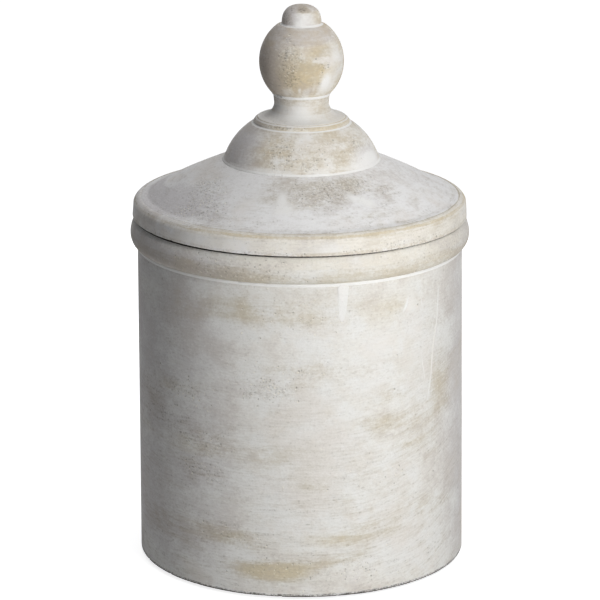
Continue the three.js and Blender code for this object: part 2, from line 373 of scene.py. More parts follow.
def pad_outline():
    """One stick-on pad, standing on z = 0, with soft edges."""
    edge = 0.5
    return laid([
        ([(0, 0), (PAD_RADIUS - edge, 0)], 2, HIDDEN),
        (arc((PAD_RADIUS - edge, edge), edge, -90, 0, 5), 1, HIDDEN),
        (arc((PAD_RADIUS - edge, PAD_THICKNESS - edge), edge, 0, 90, 5), 1, HIDDEN),
        ([(0, PAD_THICKNESS)], 2, HIDDEN),
    ])


def feed(tree, node, inputs):
    """Gives a node's sockets, by name or number, a value or the output that feeds them."""
    for key, value in inputs.items():
        if isinstance(value, bpy.types.NodeSocket):
            tree.links.new(value, node.inputs[key])
        else:
            node.inputs[key].default_value = value


def add(tree, kind, inputs=(), **settings):
    """Adds a node with its settings and what feeds it, and gives its outputs."""
    node = tree.nodes.new(kind)
    for name, value in settings.items():
        setattr(node, name, value)
    feed(tree, node, dict(inputs))
    return node.outputs


def new_tree(name, inputs, output):
    """A Geometry Nodes tree with its inputs' sockets and kinds named, and the sockets that give them."""
    tree = bpy.data.node_groups.new(name, "GeometryNodeTree")
    for label, kind in inputs.items():
        tree.interface.new_socket(label, in_out="INPUT", socket_type="NodeSocket" + kind)
    tree.interface.new_socket(output, in_out="OUTPUT", socket_type="NodeSocketGeometry")
    return tree, add(tree, "NodeGroupInput")


def coat_and_end(tree, surface, given, output):
    """Ends a tree with its material set and its geometry real."""
    coat = {"Geometry": surface, "Material": given["Material"]}
    coated = add(tree, "GeometryNodeSetMaterial", coat)[0]
    plain = add(tree, "GeometryNodeRealizeInstances", {"Geometry": coated})[0]
    add(tree, "NodeGroupOutput", {output: plain})


def turning_tree():
    """Turns an outline in the XY plane about Z, gives it a hand-made unevenness and sets its material."""
    sizes = {"Hub": "Float", "Unevenness": "Float", "Swell length": "Float", "Seed": "Float"}
    inputs = {"Outline": "Geometry", "Steps": "Int", **sizes, "Material": "Material"}
    tree, given = new_tree("turned_on_the_wheel", inputs, "Turned")
    line = add(tree, "GeometryNodeMeshToCurve", {"Mesh": given["Outline"]})[0]
    circle = {"Resolution": given["Steps"], "Radius": given["Hub"]}
    hub = add(tree, "GeometryNodeCurvePrimitiveCircle", circle)["Curve"]
    upright = add(tree, "GeometryNodeSetCurveNormal", {"Curve": hub}, mode="Z_UP")[0]
    turned = add(tree, "GeometryNodeCurveToMesh", {"Curve": upright, "Profile Curve": line})[0]
    welded = add(tree, "GeometryNodeMergeByDistance", {"Geometry": turned, "Distance": 0.005 * MM})[0]
    place = add(tree, "GeometryNodeInputPosition")[0]
    outward = add(tree, "ShaderNodeVectorMath", {0: place, 1: (1, 1, 0)}, operation="MULTIPLY")[0]
    outward = add(tree, "ShaderNodeVectorMath", {0: outward}, operation="NORMALIZE")[0]
    scale = add(tree, "ShaderNodeMath", {0: 1.0, 1: given["Swell length"]}, operation="DIVIDE")[0]
    swell = {"Vector": place, "W": given["Seed"], "Scale": scale, "Detail": 1.0}
    noise = add(tree, "ShaderNodeTexNoise", swell, noise_dimensions="4D")[0]
    swing = add(tree, "ShaderNodeMath", {0: noise, 1: 0.5}, operation="SUBTRACT")[0]
    depth = add(tree, "ShaderNodeMath", {0: swing, 1: given["Unevenness"]}, operation="MULTIPLY")[0]
    offset = add(tree, "ShaderNodeVectorMath", {0: outward, "Scale": depth}, operation="SCALE")[0]
    uneven = add(tree, "GeometryNodeSetPosition", {"Geometry": welded, "Offset": offset})[0]
    outside = add(tree, "GeometryNodeFlipFaces", {"Mesh": uneven})[0]
    coat_and_end(tree, outside, given, "Turned")
    return tree


def linked(name, data):
    """An object of the scene that shows some data."""
    made = bpy.data.objects.new(name, data)
    bpy.context.scene.collection.objects.link(made)
    return made


def keep(mesh, **columns):
    """Keeps numbers on a mesh's points, by name."""
    for name, values in columns.items():
        column = np.asarray(values, np.float32)
        mesh.attributes.new(name, "FLOAT", "POINT").data.foreach_set("value", column)


def grown(name, mesh, tree, given):
    """A smooth piece with a plain mesh, which a tree makes from another mesh and its inputs' values."""
    maker = linked(name + "_maker", mesh)
    modifier = maker.modifiers.new("grown", "NODES")
    modifier.node_group = tree
    for item in tree.interface.items_tree:
        if item.in_out == "INPUT" and item.name in given:
            modifier[item.identifier] = given[item.name]
    graph = bpy.context.evaluated_depsgraph_get()
    evaluated = maker.evaluated_get(graph)
    made = bpy.data.meshes.new_from_object(evaluated, preserve_all_data_layers=True, depsgraph=graph)
    made.name = name
    bpy.data.objects.remove(maker)
    for polygon in made.polygons:
        polygon.use_smooth = True
    return linked(name, made)


TURNING = turning_tree()
HUB = 1.0


def turned(name, outline, closed, steps, unevenness, swell_length, seed, material):
    """A piece turned from its outline, as a plain mesh with the outline's run kept on it in millimetres."""
    count = len(outline)
    edges = [(i, i + 1) for i in range(count - 1)] + ([(count - 1, 0)] if closed else [])
    mesh = bpy.data.meshes.new(name + "_outline")
    mesh.from_pydata([((r - HUB) * MM, -z * MM, 0) for r, z in outline], edges, [])
    keep(mesh, run=run_along(outline))
    sizes = {"Hub": HUB * MM, "Unevenness": unevenness * MM, "Swell length": swell_length * MM}
    return grown(name, mesh, TURNING, {"Steps": steps, **sizes, "Seed": seed, "Material": material})


def run_along(outline):
    """Distance along an outline at each of its points."""
    return np.concatenate([[0], np.cumsum(np.linalg.norm(np.diff(np.array(outline), axis=0), axis=1))])


def points_of(piece):
    """A piece's points in millimetres."""
    got = np.empty(len(piece.data.vertices) * 3, np.float32)
    piece.data.vertices.foreach_get("co", got)
    return got.reshape(-1, 3) * (1 / MM)


def put_back(piece, points):
    """Moves a piece's points to new places in millimetres."""
    piece.data.vertices.foreach_set("co", (points * MM).astype(np.float32).ravel())
    piece.data.update()


def azimuth_of(points):
    return np.degrees(np.arctan2(points[:, 0], -points[:, 1]))


def ripple(azimuth, seed, waves, slowest, fastest):
    """An uneven closed line round the axis, mostly between -1 and 1."""
    rng = np.random.default_rng(seed)
    total = np.zeros(len(azimuth))
    for k in rng.integers(slowest, fastest, waves):
        total += np.cos(np.radians(azimuth) * k + rng.uniform(0, 2 * math.pi))
    return total / math.sqrt(waves)


def patch_sum(points, patches):
    """Adds up listed patches: azimuth, height, half width in degrees, half height in mm, strength."""
    azimuth = azimuth_of(points)
    total = np.zeros(len(points))
    for centre, level, half_width, half_height, strength in patches:
        across = np.abs((azimuth - centre + 180) % 360 - 180) / half_width
        up = np.abs(points[:, 2] - level) / half_height
        total += strength * np.exp(-(across**3) - up**3)
    return total


# Places on each piece, as patch_sum reads them. Where the wash is rubbed thin, or left thick if negative
WALL_PATCHES = [
    (-5, 155.5, 28, 8, 0.29), (-10, 151, 25, 3.6, 0.2), (-20, 156, 7, 6, 0.14), (-28, 155.5, 12, 7, 0.34),
    (32, 153.5, 8, 6.5, 0.45), (-46, 152, 14, 8, 0.34), (-27, 150.5, 7, 3.2, 0.22), (-4, 123, 22, 6.5, 0.3),
    (-8, 113.5, 13, 5, 0.34), (34, 94, 16, 5, 0.52), (36, 106, 9, 4, 0.38), (59, 103, 8, 14, 0.6),
    (40, 84, 14, 6, 0.24), (53, 68.5, 6, 3.5, 0.26), (56, 44, 11, 7, 0.45), (13, 32.4, 9, 3.4, 0.64),
    (25, 36, 13, 5, 0.46), (-11, 15.5, 14, 5, 1.1), (2, 19, 12, 4, 0.5), (14, 22, 9, 3.5, 0.4),
    (-29, 32.4, 12, 5, 0.58), (-9.5, 15, 9, 3.5, 0.45), (-56, 30.4, 18, 9, 0.5), (-38, 82, 14, 9, 0.5),
    (-14, 78, 14, 3.5, 0.26), (2, 63, 12, 3, 0.36), (14, 126.4, 25, 2, 0.22), (-8, 81.5, 23, 2.4, 0.28),
    (-46, 108, 12, 4, 0.3), (44, 77, 9, 4.5, 0.3), (-66, 92, 9, 14, 0.34), (-37, 66, 9, 6, 0.4),
    (-62, 100, 12, 16, 0.2), (-22, 50, 14, 5, 0.14), (20, 58, 16, 6, 0.14), (27, 136, 14, 9, -0.24),
    (-10, 138.5, 22, 5, -0.1), (-14, 60, 18, 8, -0.14), (17, 13, 6, 6.5, -0.3), (-30, 8, 14, 4, -0.25),
    (-52, 176, 40, 7, 0.22), (-26, 175, 18, 4, 0.22), (6, 178, 22, 6, -0.14), (2, 90, 16, 8, -0.12),
    (110, 120, 30, 14, 0.3), (150, 60, 35, 12, 0.32), (-130, 140, 32, 10, 0.3), (-160, 30, 28, 12, 0.34),
    (100, 20, 24, 9, 0.3), (-105, 95, 22, 10, 0.26), (180, 150, 26, 9, 0.28),
]
# On the lid, the thick wash on the ring's top at the left (-78, 196.2) is a painted highlight on its upward
# face
LID_PATCHES = [
    (6, 210, 25, 6.5, 0.7), (-15, 209.5, 10, 5, 0.2), (33, 211.5, 11, 3.4, 0.6), (24, 201, 12, 1.6, 0.34),
    (49, 207.5, 9, 3, 0.48), (-44, 201.5, 13, 4.5, 0.12), (-64, 204.5, 9, 4, 0.1), (31, 200.5, 6, 1.4, 0.3),
    (59, 202, 4, 1.6, 0.26), (54, 190, 26, 5, 0.2), (20, 189.5, 14, 3, 0.1), (-8, 190, 18, 3.5, -0.22),
    (-60, 190, 28, 6, -0.08), (-78, 196.2, 30, 1.2, -0.8), (130, 206, 30, 5, 0.3), (-140, 203, 26, 5, 0.3),
    (-110, 190, 20, 5, 0.26), (170, 190, 30, 5, 0.28),
]
# On the finial, the patch on the ball's left (-52, 266) is painted shade, darkening the side away from the
# lamps
FINIAL_PATCHES = [
    (6, 268, 34, 10, 0.22), (-14, 261, 22, 4.8, 0.46), (4, 277, 10, 3.5, -0.2), (26, 272.5, 14, 1.8, -0.36),
    (-4, 259.5, 14, 3, 0.3), (-34, 279, 12, 3, -0.25), (-33, 224, 12, 6.5, 0.26), (-4, 228, 4, 5, -0.3),
    (20, 221, 5, 3.5, -0.25), (34, 225, 8, 5, 0.12), (56, 291, 22, 4.5, 0.14), (40, 269, 10, 3, -0.42),
    (42, 258, 16, 6, -0.5), (60, 270, 24, 13, -0.34), (-52, 266, 28, 16, 0.3), (0, 283, 60, 3, -0.1),
    (8, 254.5, 7, 3, -0.45), (-20, 256, 7, 3, -0.35), (28, 256.5, 4, 4, -0.3), (8, 296.4, 28, 1.4, 1),
    (10, 291, 40, 4.2, -0.4), (64, 220, 19, 5, -0.45), (-64, 225, 24, 9, -0.34), (4, 233.5, 6, 3, -0.45),
    (7, 226.5, 30, 7, 0.12), (48, 230, 16, 4, 0.04), (40, 243, 22, 4, 0.26), (60, 240, 20, 3, 0.36),
    (-62, 240, 24, 3, 0.26), (-30, 243, 34, 4, -0.1), (140, 225, 40, 9, -0.3), (-150, 270, 44, 10, 0.2),
]

# Where the wash stands thick and white
WALL_WHITE = [
    (14.4, 158, 2.2, 12, 0.42), (27, 136, 14, 9, 0.26), (-10, 138, 20, 4.5, 0.1), (18, 13, 5, 6, 0.4),
    (15, 100, 4, 12, 0.26), (42, 122, 6, 7, 0.24), (46, 62, 8, 4, 0.22), (-26, 46, 14, 4, 0.18),
    (-30, 10, 14, 5, 0.18), (41, 155, 3, 8, 0.34), (120, 152, 5, 14, 0.5), (-134, 155, 4, 12, 0.5),
]
LID_WHITE = [
    (-9.5, 208.8, 2.6, 2.6, 0.56), (-8, 205.6, 5.5, 3, 0.5), (-4, 203.4, 8, 2.4, 0.28),
    (25, 208.5, 3.4, 1.6, 0.46), (29.5, 206.6, 3.8, 1.8, 0.66), (33, 205, 3.2, 1.6, 0.58),
    (-37, 190, 8, 3.5, 0.34), (-52, 206, 24, 6, 0.22), (60, 207, 10, 5, 0.3), (-24, 206, 8, 5, 0.26),
    (-22, 190, 5, 4, 0.3), (12, 189, 8, 3, 0.26), (36, 188, 5, 3, 0.26), (150, 204, 16, 6, 0.4),
]
FINIAL_WHITE = [
    (36, 258.5, 9, 6, 0.5), (10, 256, 3.4, 4, 0.22), (-28, 254.5, 8, 2.5, 0.4), (56, 275.5, 13, 6, 0.4),
    (60, 266, 16, 9, 0.22), (38, 262, 8, 4.4, 0.36), (19, 258, 3, 6, 0.32), (-3, 255.8, 3, 2.4, 0.5),
    (10, 290.8, 36, 4.2, 0.28), (64, 219.5, 17, 4.6, 0.85), (40, 218, 12, 2, 0.35),
    (-26, 217.6, 22, 1.8, 0.5), (12, 217.4, 8, 2.6, 0.45), (4, 233.5, 8, 2, 0.35), (-3, 243.5, 20, 4.8, 0.44),
    (-8, 289.5, 22, 2.4, 0.4), (170, 262, 20, 8, 0.5),
]

# Where the wash dried smoke-grey, and painted shade: the wall's left and right flanks, the left sides of the
# ball, dome and button, the dome's right edge and the lid's cone beside the ring on the left, greyed where
# the lamps leave them in shade
WALL_GREY_AND_SHADE = [
    (-78, 90, 28, 110, 0.46), (-35, 90, 14, 110, 0.22), (-44, 152, 14, 10, 0.22), (-46, 120, 14, 9, 0.16),
    (-50, 88, 20, 9, 0.24), (-38, 66, 12, 9, 0.22), (-56, 28, 22, 11, 0.24), (-12, 114, 12, 5, 0.14),
    (97, 90, 34, 110, 0.74), (-62, 176, 40, 6.5, 0.62),
]
LID_GREY_AND_SHADE = [
    (-60, 204, 24, 5, 0.16), (-74, 199.6, 30, 2.4, 1.3), (-76, 196.5, 30, 1.4, 0.3), (-62, 203, 20, 3, 0.35),
    (7, 208, 30, 5, 0.1),
]
FINIAL_GREY_AND_SHADE = [
    (-64, 268, 36, 19, 0.75), (0, 284, 70, 4, 0.85), (66, 222, 18, 7, 0.4), (-66, 226, 30, 12, 0.6),
    (-58, 293, 34, 7, 0.85), (30, 297, 90, 2, 0.5), (14, 291, 44, 5, 0.26), (6, 258, 20, 4, 0.12),
]

# Where the rubbed places are ochre
WALL_OCHRE = [
    (-6, 155.5, 32, 8, 0.12), (32, 154, 9, 6.5, 0.26), (-10, 15.5, 12, 4, 0.38), (9, 32.8, 10, 4, 0.22),
    (-29, 32.4, 12, 5, 0.12), (59, 103, 8, 14, 0.1),
]
LID_OCHRE = [
    (38, 189, 40, 5, 0.3),
]
FINIAL_OCHRE = [
    (2, 262, 18, 5, 0.2), (36, 265, 14, 5, 0.5), (54, 292, 26, 5, 0.35), (-30, 229, 16, 5, 0.3),
]

# Where dark dust has settled in the rubbed clay; on the finial, the patches on the left of the ball and the
# button are painted shade, where they turn from the lamps
WALL_STAIN = [
    (-64, 96, 10, 12, 0.12), (-50, 90, 10, 4, 0.11), (-40, 83, 10, 3.5, 0.12), (-46, 108, 10, 4, 0.09),
    (-38, 66, 9, 5, 0.11), (-12, 114, 12, 4, 0.1), (18, 155, 2.2, 3.5, 0.16), (-20, 177, 26, 5, 0.06),
]
LID_STAIN = [
    (8, 210, 20, 4.5, 0.06), (-46, 201.5, 8, 2.6, 0.1), (-55, 207, 5, 2.6, 0.1), (49, 207.8, 6, 1.6, 0.14),
]
FINIAL_STAIN_AND_SHADE = [
    (6, 296.5, 22, 1.1, 0.34), (-52, 292, 32, 7, 0.18), (-16, 261, 22, 4.4, 0.2),
    (15.5, 258.5, 1.6, 4.5, 0.16), (-20, 272, 11, 7, 0.12), (-22, 276, 2.6, 4, 0.26),
    (-24, 283, 11, 0.9, 0.22), (27, 259.5, 3.5, 5, 0.14), (-12, 267, 2.4, 3, 0.2), (-62, 266, 22, 16, 0.12),
    (-44, 251.4, 16, 1.5, 0.28), (-26, 237, 26, 1, 0.2), (-20, 229, 11, 6, 0.12), (8, 221, 8, 3, 0.14),
]

# Where the clay's face is pitted
WALL_PITS = [
    (-20, 177, 22, 7, 0.5), (50, 176, 20, 7, 0.25), (-11, 114, 11, 6, 0.9), (-36, 81, 9, 6, 0.7),
    (-37, 66, 8, 6, 0.6), (-3, 152, 18, 8, 0.35), (-42, 106, 9, 8, 0.6), (20, 15, 7, 5, 1.1),
    (-5, 124, 20, 5, 0.25), (-9, 18, 15, 6, 0.3), (38, 62, 18, 10, 0.08), (-25, 33, 10, 6, 0.5),
    (120, 100, 30, 20, 0.5), (-140, 60, 25, 20, 0.5),
]
LID_PITS = [
    (-44, 201.4, 13, 5, 0.9), (-52, 207, 10, 4, 0.8), (-62, 208, 8, 2.6, 0.9), (24, 211, 18, 3.6, 1.1),
    (4, 209, 16, 5, 0.5), (49, 207.8, 7, 2, 0.4), (36, 187, 30, 2.6, 0.7), (-25, 187, 20, 2, 0.5),
    (150, 205, 30, 6, 0.6),
]
FINIAL_PITS = [
    (-17, 271, 13, 9.5, 1.4), (-19, 276, 14, 4, 0.8), (32, 268, 10, 4, 0.6), (-17, 225, 11, 8, 1.1),
    (6, 218.5, 5, 3, 1.3), (7, 224, 28, 7, 0.6), (52, 228, 9, 4, 0.9), (-20, 238, 26, 1.4, 1),
    (-24, 251, 10, 2, 1), (150, 262, 30, 10, 0.8),
]

# For each piece: rubbed, white, grey and shaded, ochre, stained and shaded, and pitted places, and how
# pitted it is elsewhere
WALL_MARKS = [WALL_PATCHES, WALL_WHITE, WALL_GREY_AND_SHADE, WALL_OCHRE, WALL_STAIN, WALL_PITS]
LID_MARKS = [LID_PATCHES, LID_WHITE, LID_GREY_AND_SHADE, LID_OCHRE, LID_STAIN, LID_PITS]
FINIAL_MARKS = [FINIAL_PATCHES, FINIAL_WHITE, FINIAL_GREY_AND_SHADE, FINIAL_OCHRE, FINIAL_STAIN_AND_SHADE, FINIAL_PITS]
NO_MARKS = [[]] * 6
PITTED_ANYWHERE = 0.008

# How the residue and the ochre vary round the axis: the residue in the joints and scored lines is darkest on
# the left, where they lie in shade, which makes it painted shade there. The foot's own residue, below this
# level, doesn't vary: it is a painted contact shadow with grime in its chips.
RESIDUE_AND_SHADE_ROUND = ([-180, -95, -80, -20, 15, 60, 85, 180], [0.4, 0.7, 1.0, 0.95, 0.60, 0.28, 0.3, 0.4])
FOOT_LEVEL = 10
FOOT_GRIME_AND_SHADOW = 0.8
OCHRE = ([-180, -120, -60, -25, 20, 60, 100, 180], [0.5, 0.4, 0.4, 0.8, 1.0, 1.0, 0.7, 0.5])

# Brush marks climb to the right by this share of the way round, where the brush left the turning pot: from
# an azimuth on, fully after a turn, and below a height, fully after a drop. Up the lid's cone they broaden.
CLIMB = 0.20
CLIMB_AZIMUTH = 8
CLIMB_TURN = 60
CLIMB_HEIGHT = 150
CLIMB_DROP = 60
CONE_HEIGHT = 19
CONE_BROADENING = 1.15

# Points further out than this are on the outside of the wall and the band
OUTSIDE = 85.0
# The hand-made body's lean off the axis towards +X, by height, in millimetres
LEAN = ([0, 150, 186, 200, 216, 250, 299], [0.9, 0.05, -0.15, 0.0, 0.8, 0.8, 0.85])
# Chips in the foot's edge: how high they reach, and how far in and up they cut
CHIP_REACH = 2.2
CHIP_IN = 0.45
CHIP_UP = 0.5
# Wash that fills the joint on the rim: how far it stands out, by azimuth up to its end, and by height
FILLING = 0.75
FILLED_ROUND = ([-48, -15, 15, 62, 80], [0, 0.6, 1, 1, 0.2])
FILLED_END = 110
FILLED_UP = ([181.5, 183.6, 184.7, 185.15], [0, 1, 1, 0.2])
# The joint under the band: how high its edge moves, how far it is chipped and how far it opens, by azimuth
BAND_REACH = 3.0
BAND_CHIPS = 0.30
OPENING = 0.72
OPEN_ROUND = ([-130, -85, -50, -15, 10], [0, 1, 0.8, 0.25, 0])
# Wash in the scored line, on the far left: half width and height
SCORE_HALF_WIDTH = 0.35
SCORE_FILLING = 0.24


def treated(piece, outline, finish, marks):
    """Keeps on a piece's points what the brush left there and the painted shade, for the material to read."""
    points = points_of(piece)
    azimuth = azimuth_of(points)
    height = points[:, 2]
    run = np.empty(len(points), np.float32)
    piece.data.attributes["run"].data.foreach_get("value", run)
    along = run_along(outline)
    bare, pool, residue, ochre, reached = (np.interp(run, along, column) for column in np.array(finish).T)
    placed = [reached * patch_sum(points, table) for table in marks]
    residue = residue * np.where(height < FOOT_LEVEL, FOOT_GRIME_AND_SHADOW, np.interp(azimuth, *RESIDUE_AND_SHADE_ROUND))
    climb = np.clip((azimuth - CLIMB_AZIMUTH) / CLIMB_TURN, 0, 1)
    climb = climb * np.clip((CLIMB_HEIGHT - height) / CLIMB_DROP, 0, 1)
    stroke = run - CLIMB * climb * np.radians(azimuth) * WALL_TOP_RADIUS
    stroke = stroke - CONE_BROADENING * np.clip(height - RING_INNER[1], 0, CONE_HEIGHT)
    keep(
        piece.data,
        bare=bare + placed[0],
        pool=pool + placed[1],
        grey=placed[2],
        ochre=ochre * np.interp(azimuth, *OCHRE) + placed[3],
        residue=residue + placed[4],
        pitted=PITTED_ANYWHERE + placed[5],
        stroke=stroke,
        combing=np.interp(height, *COMBED),
    )


def lean_at(z):
    return np.interp(z, *LEAN)


def reshaped(piece, move):
    """Moves a piece's points, which a function gives in millimetres from the old ones, and leans it."""
    points = move(points_of(piece))
    points[:, 0] += lean_at(points[:, 2])
    put_back(piece, points)


def chipped_foot(points):
    """Small chips in the vessel's bottom edge, and a fuller rim where wash fills the joint on the right."""
    azimuth = azimuth_of(points)
    radius = np.hypot(points[:, 0], points[:, 1])
    chips = np.clip(ripple(azimuth, 11, 30, 30, 150) - 1.0, 0, 1.2)
    wave = ripple(azimuth, 12, 12, 4, 26)
    near = np.clip(1 - (points[:, 2] - FOOT_Z) / CHIP_REACH, 0, 1) * (radius > OUTSIDE)
    inward = near * CHIP_IN * chips
    filled = np.interp(azimuth, *FILLED_ROUND) * (azimuth < FILLED_END)
    filled = filled * np.interp(points[:, 2], *FILLED_UP)
    outward = FILLING * filled * (radius > OUTSIDE)
    points[:, :2] *= ((radius - inward + outward) / np.maximum(radius, 1))[:, None]
    points[:, 2] += near * (CHIP_UP * chips + 0.06 * (1 + wave).clip(0))
    return points


def chipped_band(points):
    """An uneven lower edge on the lid's band, open wider on the left, where wash fills the scored line."""
    azimuth = azimuth_of(points)
    radius = np.hypot(points[:, 0], points[:, 1])
    chips = np.clip(ripple(azimuth, 21, 30, 25, 120) - 0.8, 0, 1.4)
    above = points[:, 2] - SEAT_Z
    near = np.clip(1 - above / BAND_REACH, 0, 1) * (radius > OUTSIDE) * (above < BAND_REACH)
    points[:, 2] += near * (BAND_CHIPS * chips + OPENING * np.interp(azimuth, *OPEN_ROUND))
    groove = np.clip(1 - np.abs(radius - RING_OUTER[0] + 0.3) / SCORE_HALF_WIDTH, 0, 1)
    groove = groove * (points[:, 2] > RING_OUTER[1] - 0.5)
    points[:, 2] += SCORE_FILLING * groove * np.clip((-52 - azimuth) / 12, 0, 1)
    return points


def unchanged(points):
    return points


def linear(hex_colour):
    """An sRGB hex colour as linear RGBA."""
    channels = [int(hex_colour[i : i + 2], 16) / 255 for i in (1, 3, 5)]
    return tuple(c / 12.92 if c <= 0.04045 else ((c + 0.055) / 1.055) ** 2.4 for c in channels) + (1.0,)


def new_material(name):
    """A material with its tree, its shader and the object's own coordinates."""
    material = bpy.data.materials.new(name)
    material.use_nodes = True
    tree = material.node_tree
    place = add(tree, "ShaderNodeTexCoord")["Object"]
    return material, tree, tree.nodes["Principled BSDF"], place


SOFT = "SMOOTHSTEP"
PIT_SPACING = 1.5


def weighted_sum(tree, total, terms):
    """A value with others added to it, each times its weight."""
    for value, weight in terms:
        inputs = {0: value, 1: weight, 2: total}
        total = add(tree, "ShaderNodeMath", inputs, operation="MULTIPLY_ADD")[0]
    return total


def brush_patterns(tree, solid, kept, cloud, blotch, seed):
    """Noise about zero, as fine and as rough as each kind of mark on the clay.

    The lime's own grain is finer than 0.3 mm and is drawn at 1.1 mm, so that it shows.
    """
    axes = add(tree, "ShaderNodeSeparateXYZ", {0: solid})
    brushed = add(tree, "ShaderNodeCombineXYZ", {0: axes[0], 1: axes[1], 2: kept["stroke"]})[0]
    pattern = {}
    # Length and thickness of a mark in millimetres, detail and roughness of the noise
    for i, (key, source, length, thickness, detail, rough) in enumerate([
        ("sweep", brushed, 3.4 * cloud, 0.7 * cloud, 1.5, 0.5),
        ("band", brushed, 1.9 * cloud, 0.2 * cloud, 2.0, 0.55),
        ("bristle", brushed, 8.0, 1.05, 2.0, 0.6),
        ("mottle", solid, cloud, 0.8 * cloud, 4.0, 0.62 + 0.2 * blotch),
        ("tint", solid, 2.8 * cloud, 2.0 * cloud, 2.0, 0.5),
        ("grain", solid, 1.1, 0.95, 2.0, 0.6),
        ("fleck", solid, 1.9, 1.2, 2.0, 0.6),
    ]):
        shift = (seed * 17.3 + i * 31.7, seed * 5.1 - i * 11.9, i * 23.3)
        stretched = {0: source, 1: (1 / length, 1 / length, 1 / thickness), 2: shift}
        at = add(tree, "ShaderNodeVectorMath", stretched, operation="MULTIPLY_ADD")[0]
        settings = {"Vector": at, "Scale": 1.0, "Detail": detail, "Roughness": rough}
        value = add(tree, "ShaderNodeTexNoise", settings)["Fac"]
        value = add(tree, "ShaderNodeMath", {0: value, 1: 0.5}, operation="SUBTRACT")[0]
        if key in ("band", "bristle"):
            value = add(tree, "ShaderNodeMath", {0: value, 1: kept["combing"]}, operation="MULTIPLY")[0]
        pattern[key] = value
    return pattern


def pits_and_crumbs(tree, solid, pitted):
    """One place for each per spacing, crowded where the clay is pitted, ragged and of uneven size."""
    rag = add(tree, "ShaderNodeTexNoise", {"Vector": solid, "Scale": 1.1, "Detail": 2.0})["Color"]
    rag = add(tree, "ShaderNodeVectorMath", {0: rag, "Scale": 1.1}, operation="SCALE")[0]
    crowd = add(tree, "ShaderNodeMath", {0: pitted, 1: 0.85}, operation="MULTIPLY")[0]
    dot = {}
    for key, shift, small, large in [
        ("pit", (0, 0, 0), 0.18, 0.50),
        ("crumb", (0.30, 0.1, 0.40), 0.20, 0.54),
    ]:
        ragged = {0: solid, 1: (1 / PIT_SPACING,) * 3, 2: rag}
        at = add(tree, "ShaderNodeVectorMath", ragged, operation="MULTIPLY_ADD")[0]
        at = add(tree, "ShaderNodeVectorMath", {0: at, 1: shift}, operation="ADD")[0]
        cells = add(tree, "ShaderNodeTexVoronoi", {"Vector": at, "Scale": 1.0})
        luck = add(tree, "ShaderNodeSeparateColor", {0: cells["Color"]})
        chosen = add(tree, "ShaderNodeMath", {0: luck[0], 1: crowd}, operation="LESS_THAN")[0]
        width = add(tree, "ShaderNodeMapRange", {"Value": luck[1], "To Min": small, "To Max": large})[0]
        fade = {"Value": cells["Distance"], "From Min": 0.03, "From Max": width, "To Min": 1.0, "To Max": 0.0}
        value = add(tree, "ShaderNodeMapRange", fade, interpolation_type=SOFT)[0]
        dot[key] = add(tree, "ShaderNodeMath", {0: value, 1: chosen}, operation="MULTIPLY")[0]
    return dot


def wash_masks(tree, kept, pattern, speckle, blotch):
    """Where each layer lies: brush marks and painted shade plus weighted patterns, softly between two levels.
    """
    keys = ("mottle", "band", "sweep", "bristle", "grain", "fleck")
    thin = dict(zip(keys, (1.4, 1.1, 0.9, 0.9, 0.5 * speckle, 0.9 * blotch)))
    bare = dict(zip(keys, (1.2, 0.9, 0.7, 0.8, 0.6 * speckle, 1.1 * blotch)))
    mask = {}
    for key, left, weight, low, high, terms in [
        ("thin", "bare", 1.0, -0.10, 0.85, thin),
        ("rubbed", "bare", 1.0, 0.32, 1.25, bare),
        ("ochre", "ochre", 1.0, 0.10, 0.90, {"tint": 1.4, "mottle": 1.2}),
        ("cool", "grey", 1.0, -0.05, 0.60, {"tint": 1.2, "mottle": 1.2, "fleck": 0.4}),
        ("warm", "grey", -1.0, -0.05, 0.35, {"tint": -1.6, "mottle": 0.7}),
        ("combed", "pool", -0.2, -0.10, 0.26, {"bristle": 1.2, "fleck": 0.5}),
        ("grainy", "pitted", 0.06, -0.06, 0.22, {"grain": 1.0}),
        ("flecked", "pitted", 0.16, 0.19, 0.30, {"fleck": 1.2, "grain": 0.8}),
        ("paler", "pitted", 0.10, 0.08, 0.36, {"fleck": -1.3, "bristle": -0.8, "grain": -0.5}),
        ("pooled", "pool", 1.0, 0.10, 0.85, {"grain": 0.5, "mottle": 0.8}),
        ("residue", "residue", 1.0, 0.12, 0.72, {"grain": 0.9, "bristle": 0.8}),
    ]:
        total = add(tree, "ShaderNodeMath", {0: kept[left], 1: weight}, operation="MULTIPLY")[0]
        total = weighted_sum(tree, total, [(pattern[term], share) for term, share in terms.items()])
        step = {"Value": total, "From Min": low, "From Max": high}
        mask[key] = add(tree, "ShaderNodeMapRange", step, interpolation_type=SOFT)[0]
    return mask


